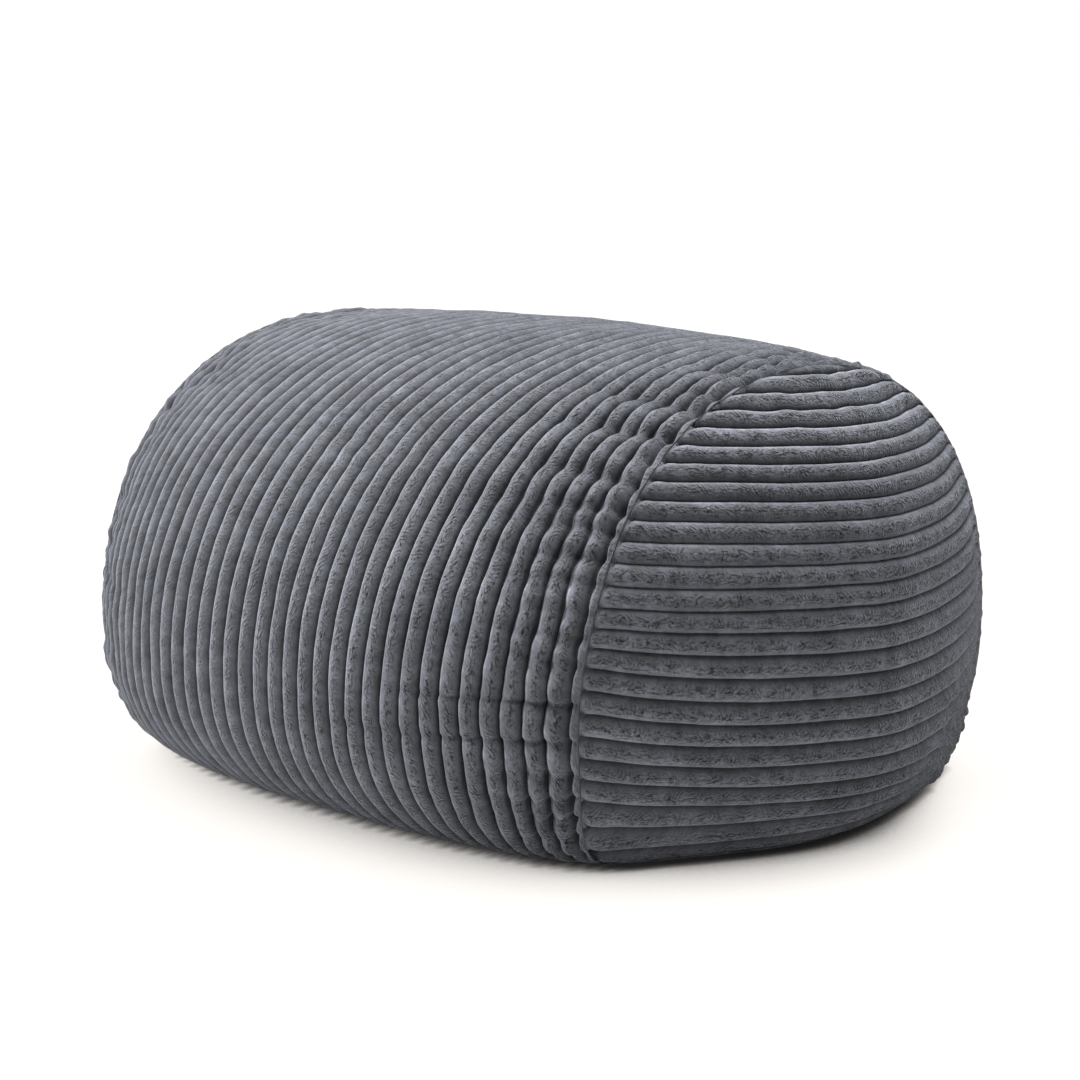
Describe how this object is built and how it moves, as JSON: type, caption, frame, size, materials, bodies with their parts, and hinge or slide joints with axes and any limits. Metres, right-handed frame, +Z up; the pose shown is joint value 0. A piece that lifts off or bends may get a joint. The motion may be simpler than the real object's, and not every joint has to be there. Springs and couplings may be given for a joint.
{
  "type": "long floor pouf",
  "caption": "Long barrel-shaped floor pouf in wide-wale plush cord, with a wrap-around body panel, domed end panels and a flat base.",
  "frame": {"origin": "centre of the flat base, on the surface the pouf stands on", "axes": "+X along the length towards the right end panel, +Y across the width, +Z up"},
  "size_m": [0.8916, 0.7832, 0.444],
  "materials": {
    "plush_cord": "slate grey wide-wale plush cord, matt with a soft sheen on the wales"
  },
  "bodies": {
    "root": {"body_panel": "plush_cord", "end_panel_right": "plush_cord", "end_panel_left": "plush_cord"}
  },
  "joints": []
}
